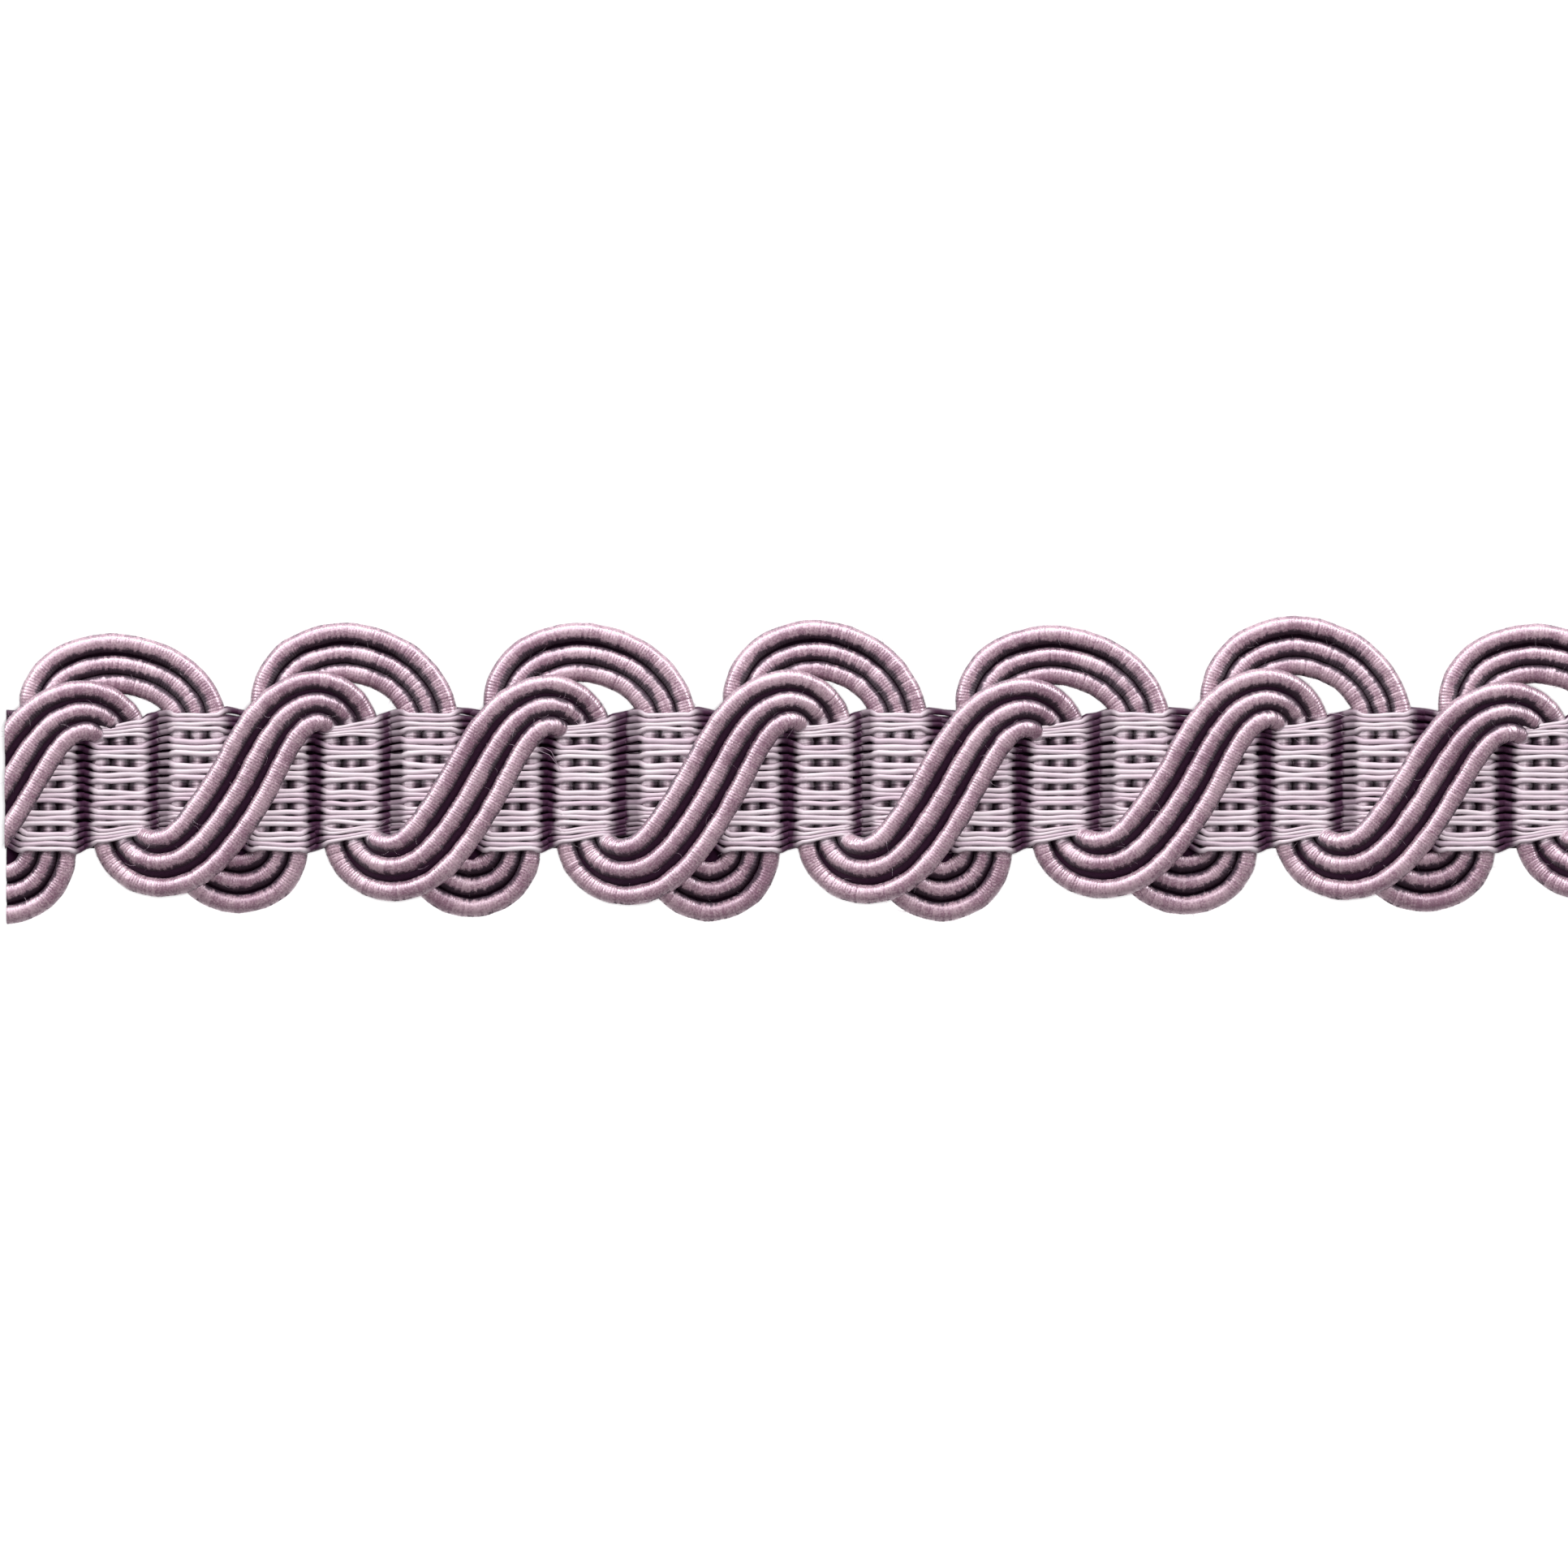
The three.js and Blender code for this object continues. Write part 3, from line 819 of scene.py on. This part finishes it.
weftSizes = {title: value for title, value in weft.items() if title[0].isupper()}
weftPiece = meshFromLines("dark_shade_weft", weftLines(), smoothTree, weftSizes, shadeYarnMaterial)
trimEnds(weftPiece)
handIn(weftPiece, "binding_thread")


# How far a thread lies over the cords' middle at x, as a share of its distance from a cord's
# middle line. It bends round the rib's outer cord and then runs straight to under the next rib.
def overUnder(x, startsOver, stations):
    for i, ((centre, _), (following, _)) in enumerate(zip(stations, stations[1:])):
        sign = 1 if (i % 2 == 0) == startsOver else -1
        halfway = (centre + following) / 2
        if x > following:
            continue
        if x > halfway:
            sign = -sign
            x = centre + following - x
        out = max(x - centre - loops["rib"], 0) / threadRise
        reach = (halfway - centre - loops["rib"]) / threadRise
        slope = math.asin(min(1 / reach, 0.98))
        if out < math.sin(slope):
            return sign * math.sqrt(1 - out * out)
        return sign * (reach - out) * math.tan(slope)
    return sign


def threadLine(group, share, startsOver, seed, stations):
    line = []
    count = int((cut["right"] - cut["left"]) / threads["spacing"])
    for i in range(count + 1):
        x = mix(cut["left"] - cut["spare"], cut["right"] + cut["spare"], i / count)
        over = overUnder(x, startsOver, stations)
        y = rowPlace(x, group, share, stations)
        y += threads["underShift"] * (1 - over) / 2
        y += threads["wander"] * noise.noise(Vector((x * 0.45, seed * 7.3, 0.0))) * 2
        nearest = min(stations, key=lambda station: abs(station[0] - x))[0]
        ripple = math.cos((x - nearest) / loops["rib"] * 2 * math.pi) - 1
        z = heights["ground"] + over * (threadRise + threads["crestDip"] * ripple / 2)
        z += 0.02 * noise.noise(Vector((x * 0.8, seed * 3.1, 4.0)))
        line.append(Vector((x, y, z)))
    return line


# A thread lies wider where its group has more room, and rounder where it dives between ribs.
def threadSwell(x, group):
    room = rowPlace(x, group, 0.0, stations) - rowPlace(x, group, 1.0, stations)
    radius = threads["fill"] * room / (group["count"] - 1)
    return min(max(radius, 0.13), 0.215) / (threads["Radius"] / mm)


# Names each thread, for its material
def markStrands(piece, rings):
    strand = piece.data.attributes.new("strand", "FLOAT", "POINT")
    for i in range(len(piece.data.vertices)):
        strand.data[i].value = i // (rings * threads["Sides"])


# Painted shade on a thread: darker the lower it lies below a rib's top, and half dark where it rises into a
# fall rib
def threadShade(place):
    height = (place.z - heights["ground"]) / threadRise
    buriedShade = 1 - smooth((height - threads["darkAt"]) / (threads["lightAt"] - threads["darkAt"]))
    centre, kind = min(stations, key=lambda station: abs(station[0] - place.x))
    if kind == "fall":
        rise = (place.x - centre - threads["dimFrom"]) / (threads["dimTo"] - threads["dimFrom"])
        buriedShade = max(buriedShade, threads["dim"] * (1 - smooth(rise)))
        if threads["dimStart"] < place.x - centre < 0:
            buriedShade = min(buriedShade, threads["dim"])
    return buriedShade


for startsOver, name in ((True, "threads_odd"), (False, "threads_even")):
    lines, lineGroups = [], []
    for g, group in enumerate(groups):
        for j in range(group["count"]):
            share = j / (group["count"] - 1)
            seed = g * 10 + j + (100 if startsOver else 0)
            lines.append(threadLine(group, share, startsOver, seed, stations))
            lineGroups.append(group)
    sizes = {title: value for title, value in threads.items() if title[0].isupper()}
    piece = meshFromLines(name, lines, smoothTree, sizes, threadMaterial,
                          lambda place, number: threadSwell(place.x, lineGroups[number]))
    rings = len(piece.data.vertices) // (len(lines) * threads["Sides"])
    markStrands(piece, rings)
    markShare(piece, "buriedShade", threadShade)
    trimEnds(piece)
    handIn(piece, "binding_thread", ["thread_band"])
print("binding threads woven")

# Loose fibres
# Short hairs stand off the cords all over, and a few longer ones have worked loose from the band.
hairs = {
    "Density": 2.4e5,  # hairs for each square metre
    "Length": 0.75 * mm,
    "Thickness": 0.011 * mm,
    "Seed": 21,
}
looseFibres = {"Radius": 0.018 * mm, "Ring spacing": 0.15 * mm, "Sides": 5, "Height": 1.0,
               "Groove depth": 0.0, "Unevenness": 0.0, "Seed": 2}
looseLines = [
    [(-18.6, 2.9, 2.5), (-18.0, 2.2, 2.9), (-17.3, 1.9, 3.0), (-16.6, 1.0, 2.6)],
    [(-18.4, 2.2, 2.4), (-17.9, 2.5, 2.7), (-17.2, 2.2, 2.9), (-16.9, 1.6, 2.8), (-16.5, 0.7, 2.5)],
    [(38.9, 4.7, 2.2), (39.9, 5.0, 2.5), (41.0, 4.9, 2.6), (42.0, 4.6, 2.4)],
]


def hairTree():
    tree = bpy.data.node_groups.new("hairs", "GeometryNodeTree")
    inputs = [
        ("Geometry", "NodeSocketGeometry"), ("Density", "NodeSocketFloat"), ("Length", "NodeSocketFloat"),
        ("Thickness", "NodeSocketFloat"), ("Seed", "NodeSocketInt"), ("Material", "NodeSocketMaterial"),
    ]
    for title, kind in inputs:
        tree.interface.new_socket(title, in_out="INPUT", socket_type=kind)
    tree.interface.new_socket("Geometry", in_out="OUTPUT", socket_type="NodeSocketGeometry")
    graph = Graph(tree)
    given = graph.add("NodeGroupInput")
    facing = graph.add("ShaderNodeSeparateXYZ", None, {"Vector": graph.add("GeometryNodeInputNormal")})
    spots = graph.add("GeometryNodeDistributePointsOnFaces", None, {
        "Mesh": given.out("Geometry"), "Selection": facing.out("Z").above(-0.2),
        "Density": given.out("Density"), "Seed": given.out("Seed")})
    bend = graph.add("GeometryNodeCurveQuadraticBezier", None, {
        "Resolution": 4, "Start": (0, 0, 0), "Middle": (0.1, 0.0, 0.5), "End": (0.75, 0.1, 0.7)})
    profile = graph.add("GeometryNodeCurvePrimitiveCircle", None, {"Resolution": 3, "Radius": 1.0})
    along = graph.add("GeometryNodeSplineParameter")
    thin = given.out("Thickness") / given.out("Length") * (1.0 - along * 0.7)
    hair = graph.add("GeometryNodeCurveToMesh", None,
                     {"Curve": bend, "Profile Curve": profile, "Scale": thin, "Fill Caps": True})
    lean = graph.add("FunctionNodeRandomValue", {"data_type": "FLOAT_VECTOR"},
                     {"Min": (-0.9, -0.9, 0.0), "Max": (0.9, 0.9, 2 * math.pi), "Seed": given.out("Seed")})
    turned = graph.add("FunctionNodeRotateRotation", {"rotation_space": "LOCAL"},
                       {"Rotation": spots.out("Rotation"), "Rotate By": lean})
    size = graph.add("FunctionNodeRandomValue", {"data_type": "FLOAT"},
                     {"Min_001": 0.4, "Max_001": 1.2, "Seed": given.out("Seed")}, output=1)
    tufts = graph.add("GeometryNodeInstanceOnPoints", None, {
        "Points": spots, "Instance": hair, "Rotation": turned, "Scale": size * given.out("Length")})
    tufts = graph.add("GeometryNodeRealizeInstances", None, {"Geometry": tufts})
    tufts = graph.add("GeometryNodeSetMaterial", None, {"Geometry": tufts, "Material": given.out("Material")})
    graph.add("NodeGroupOutput", None, {"Geometry": tufts})
    return tree


# The hairs grow on a copy of all the cords.
def growHairs(cords):
    mesh = bmesh.new()
    for cord in cords:
        mesh.from_mesh(cord.data)
    source = bpy.data.objects.new("hairSource", bpy.data.meshes.new("hairSource"))
    mesh.to_mesh(source.data)
    mesh.free()
    bpy.context.collection.objects.link(source)
    tree = hairTree()
    modifier = source.modifiers.new("hairs", "NODES")
    modifier.node_group = tree
    sockets = {item.name: item.identifier for item in tree.interface.items_tree if item.in_out == "INPUT"}
    for title, value in hairs.items():
        modifier[sockets[title]] = value
    modifier[sockets["Material"]] = hairMaterial
    shown = source.evaluated_get(bpy.context.evaluated_depsgraph_get())
    piece = bpy.data.objects.new("cord_hairs", bpy.data.meshes.new_from_object(shown))
    bpy.context.collection.objects.link(piece)
    bpy.data.objects.remove(source)
    return piece


hairPiece = growHairs([piece for piece in cordPieces if piece.name.startswith("gimp_")])
handIn(hairPiece, "gimp_cord")
looseVectors = [[Vector(place) for place in line] for line in looseLines]
loosePiece = meshFromLines("loose_fibres", looseVectors, smoothTree, looseFibres, hairMaterial)
handIn(loosePiece, "binding_thread")
print("loose fibres grown")

# Floor and lights
# The key light is a long lamp low over the wide arches and lights only the braid. The floor has a light of
# its own straight above, so that its shadow lies hidden below the braid.
studio = {
    "floorSize": 1.6,
    "floorColour": (0.92, 0.92, 0.92, 1.0),
    "world": 0.34,
    "key": {"place": (-0.1, 0.42, 0.34), "length": 0.6, "width": 0.05, "energy": 0.9},
    "edgeLamps": {"azimuths": (-52, 0, 52), "distance": 0.53, "height": 0.12, "length": 0.4, "width": 0.03,
                  "energy": 6.5},
    "sheenBox": {"place": (-0.42, 0.33, 0.5), "length": 0.4, "width": 0.4, "energy": 3.8},
    "softBox": {"place": (0.0, 0.54, 0.44), "length": 0.4, "width": 0.3, "energy": 4.2},
    "floor": {"place": (0.0, 0.0, 0.8), "length": 0.12, "width": 0.12, "energy": 6.4},
}


def areaLight(name, settings, lit):
    data = bpy.data.lights.new(name, "AREA")
    data.shape = "RECTANGLE"
    data.size = settings["length"]
    data.size_y = settings["width"]
    data.energy = settings["energy"]
    light = bpy.data.objects.new(name, data)
    light.location = settings["place"]
    light.rotation_euler = (-Vector(settings["place"])).to_track_quat("-Z", "Y").to_euler()
    bpy.context.collection.objects.link(light)
    only = bpy.data.collections.new(name + "Only")
    for piece in lit:
        only.objects.link(piece)
    light.light_linking.receiver_collection = only
    return light


def makeStudio(pieces):
    half = studio["floorSize"] / 2
    mesh = bpy.data.meshes.new("floor")
    corners = [(-half, -half, 0), (half, -half, 0), (half, half, 0), (-half, half, 0)]
    mesh.from_pydata(corners, [], [(0, 1, 2, 3)])
    floor = bpy.data.objects.new("floor", mesh)
    bpy.context.collection.objects.link(floor)
    finish = {"shader": {"Base Color": studio["floorColour"], "Roughness": 0.9, "Specular IOR Level": 0.1}}
    mesh.materials.append(newMaterial("paleFloor", finish, lambda graph, shader, settings: None))
    areaLight("keyLight", studio["key"], pieces)
    lamps = studio["edgeLamps"]
    for degrees in lamps["azimuths"]:
        azimuth = math.radians(degrees)
        across, along = (lamps["distance"] * way for way in (math.cos(azimuth), math.sin(azimuth)))
        settings = dict(lamps, place=(along, across, lamps["height"]))
        lamp = areaLight("edgeLamp", settings, cordPieces)
        lamp.visible_diffuse = False
        lamp.light_linking.blocker_collection = lamp.light_linking.receiver_collection
    # The slants don't stop the soft light, so that the back lobes below them are as bright.
    lowPieces = bpy.data.collections.new("lowPieces")
    for piece in pieces:
        if "front_cord" not in piece.name and piece != hairPiece:
            lowPieces.objects.link(piece)
    sheen = areaLight("sheenBox", studio["sheenBox"], cordPieces)
    sheen.visible_diffuse = False
    sheen.light_linking.blocker_collection = lowPieces
    soft = areaLight("softBox", studio["softBox"], pieces)
    soft.light_linking.blocker_collection = lowPieces
    areaLight("floorLight", studio["floor"], [floor])
    world = bpy.data.worlds.new("studio")
    world.use_nodes = True
    world.node_tree.nodes["Background"].inputs["Color"].default_value = (1.0, 1.0, 1.0, 1.0)
    world.node_tree.nodes["Background"].inputs["Strength"].default_value = studio["world"]
    scene = bpy.context.scene
    scene.world = world
    scene.view_settings.view_transform = "Standard"
    scene.view_settings.look = "None"


makeStudio(braidPieces)
print("studio ready")
